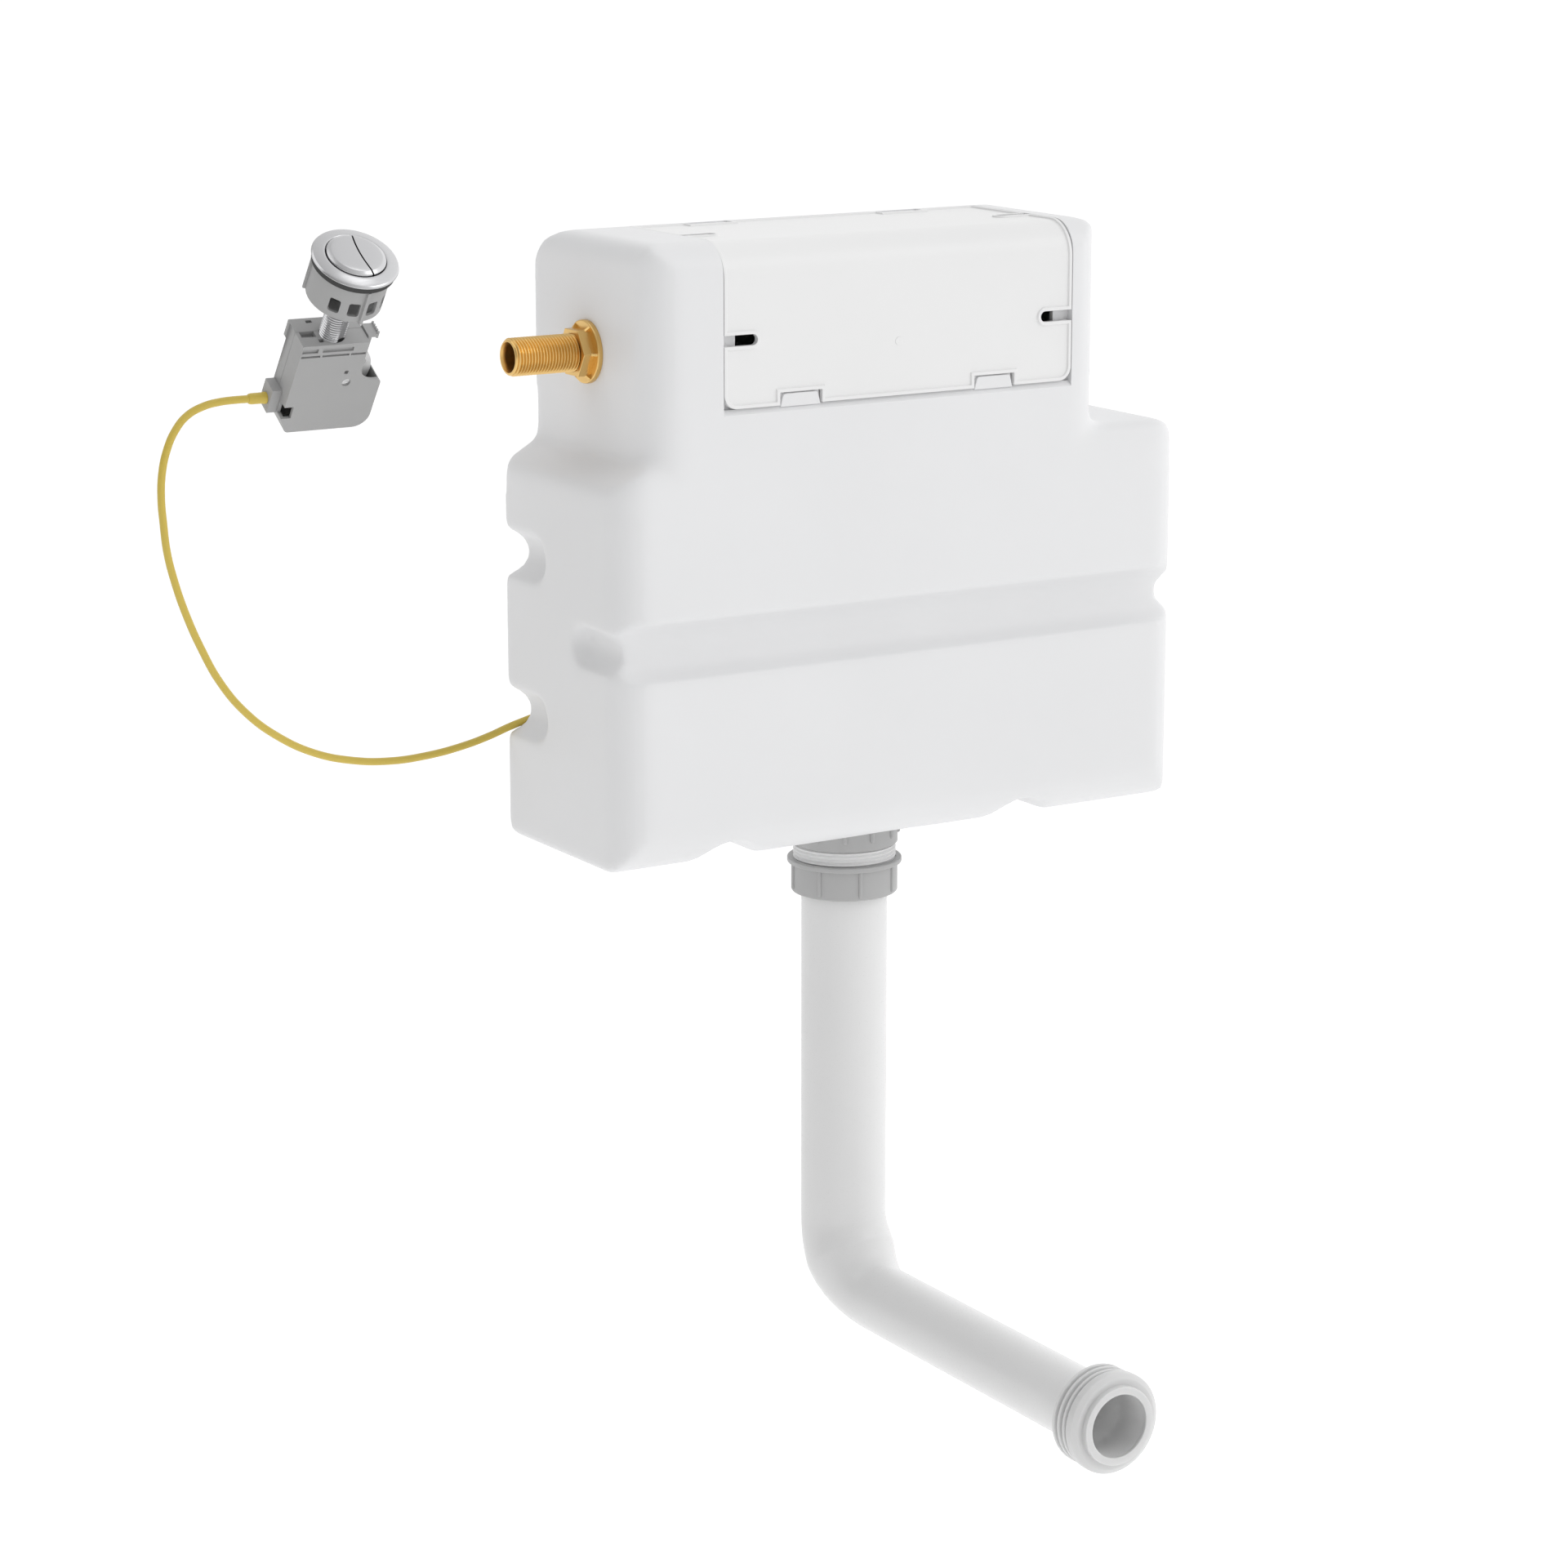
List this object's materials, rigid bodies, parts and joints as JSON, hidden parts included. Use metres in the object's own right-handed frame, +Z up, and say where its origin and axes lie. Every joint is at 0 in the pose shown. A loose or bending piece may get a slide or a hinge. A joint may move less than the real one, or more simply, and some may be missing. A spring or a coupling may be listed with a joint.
{
  "type": "toilet cistern",
  "caption": "Concealed dual-flush toilet cistern: stepped moulded tank with side inlet, access cover, flush bend with finned seal, and a cable-operated split push button.",
  "frame": {"origin": "On the wall, on the outlet's centre line, on the flat of the tank's back between the two rear grooves.", "axes": "+X runs along the wall to the right seen from the front, +Y points into the wall, +Z is up."},
  "size_m": [0.5896, 0.3434, 0.6659],
  "materials": {
    "tank_white": "blow-moulded satin",
    "cover_white": "moulded satin",
    "white_plastic": "smooth",
    "grey_plastic": "fine satin",
    "inner_plastic": "smooth",
    "brass": "turned",
    "chrome": "satin plated",
    "steel": "drawn",
    "rubber_black": "matt",
    "rubber_red": "matt",
    "seal_white": "matt",
    "cable_yellow": "extruded sheath"
  },
  "bodies": {
    "tank": {"tank_shell": "tank_white", "recess_frame": "tank_white", "inlet_shank": "brass", "inlet_back_nut": "brass", "inlet_washer": "rubber_black", "fill_valve_body": "white_plastic", "fill_valve_cap": "grey_plastic", "fill_diaphragm": "rubber_black", "fill_tube": "white_plastic", "float_pin": "steel", "flush_valve_base": "white_plastic", "outlet_gasket": "rubber_black", "flush_basket": "inner_plastic", "valve_head": "inner_plastic", "cable_end_ferrule": "cable_yellow", "outlet_back_nut": "grey_plastic", "coupling_nut": "grey_plastic", "pipe_seal": "rubber_black", "flush_pipe": "white_plastic", "pan_seal": "seal_white", "bezel": "chrome", "panel_gasket": "rubber_black", "button_cup": "grey_plastic", "full_spring": "steel", "half_spring": "steel", "threaded_stem": "chrome", "actuator_case": "grey_plastic", "actuator_cover": "grey_plastic", "lever_pin": "steel", "drum_wire": "steel", "cable_ferrule": "cable_yellow", "flush_cable": "cable_yellow", "cable_run": "cable_yellow", "cable_gland": "rubber_black"},
    "cover": {"access_cover": "cover_white"},
    "float": {"float_arm": "white_plastic", "float_rod": "white_plastic", "float_cup": "white_plastic"},
    "flush_lift": {"lift_tube": "white_plastic", "flush_seal": "rubber_red", "half_flush_float": "white_plastic", "lift_hook": "inner_plastic", "lift_wire": "steel"},
    "full_press": {"full_button": "chrome", "full_push_rod": "grey_plastic"},
    "half_press": {"half_button": "chrome", "half_push_rod": "grey_plastic"},
    "half_lever": {"half_lever": "white_plastic"},
    "drum": {"cable_drum": "white_plastic"},
    "clip": {"release_clip": "grey_plastic"}
  },
  "joints": [
    {"name": "cover_lift", "type": "slide", "parent": "tank", "child": "cover", "axis": [0, -0.7071, 0.7071], "range_m": [0, 0.12]},
    {"name": "full_button_press", "type": "slide", "parent": "tank", "child": "full_press", "axis": [0, 0.5807, -0.8141], "range_m": [0, 0.0095], "stiffness_N_per_m": 700, "springref_m": -0.003, "deforming": ["full_spring"]},
    {"name": "half_button_press", "type": "slide", "parent": "tank", "child": "half_press", "axis": [0, 0.5807, -0.8141], "range_m": [0, 0.004], "stiffness_N_per_m": 700, "springref_m": -0.003, "deforming": ["half_spring"]},
    {"name": "half_lever_turn", "type": "hinge", "parent": "tank", "child": "half_lever", "pos_m": [-0.3006, -0.03448, 0.15674], "axis": [0, -0.8141, -0.5807], "range_deg": [0, 25]},
    {"name": "drum_turn", "type": "hinge", "parent": "half_lever", "child": "drum", "pos_m": [-0.3006, -0.03448, 0.15674], "axis": [0, -0.8141, -0.5807], "range_deg": [0, 40]},
    {"name": "flush_valve_lift", "type": "slide", "parent": "tank", "child": "flush_lift", "axis": [0, 0, 1], "range_m": [0, 0.012]},
    {"name": "float_swing", "type": "hinge", "parent": "tank", "child": "float", "pos_m": [-0.1163, -0.066, 0.147], "axis": [0, -1, 0], "range_deg": [0, 10]},
    {"name": "clip_release", "type": "slide", "parent": "tank", "child": "clip", "axis": [1, 0, 0], "range_m": [0, 0.003], "stiffness_N_per_m": 300}
  ],
  "couplings": [
    {"joint": "half_lever_turn", "follows": "half_button_press", "rad_per_m": 109.08},
    {"joint": "drum_turn", "follows": "full_button_press", "rad_per_m": 73.487},
    {"joint": "flush_valve_lift", "follows": "full_button_press", "ratio": 1.2632}
  ]
}
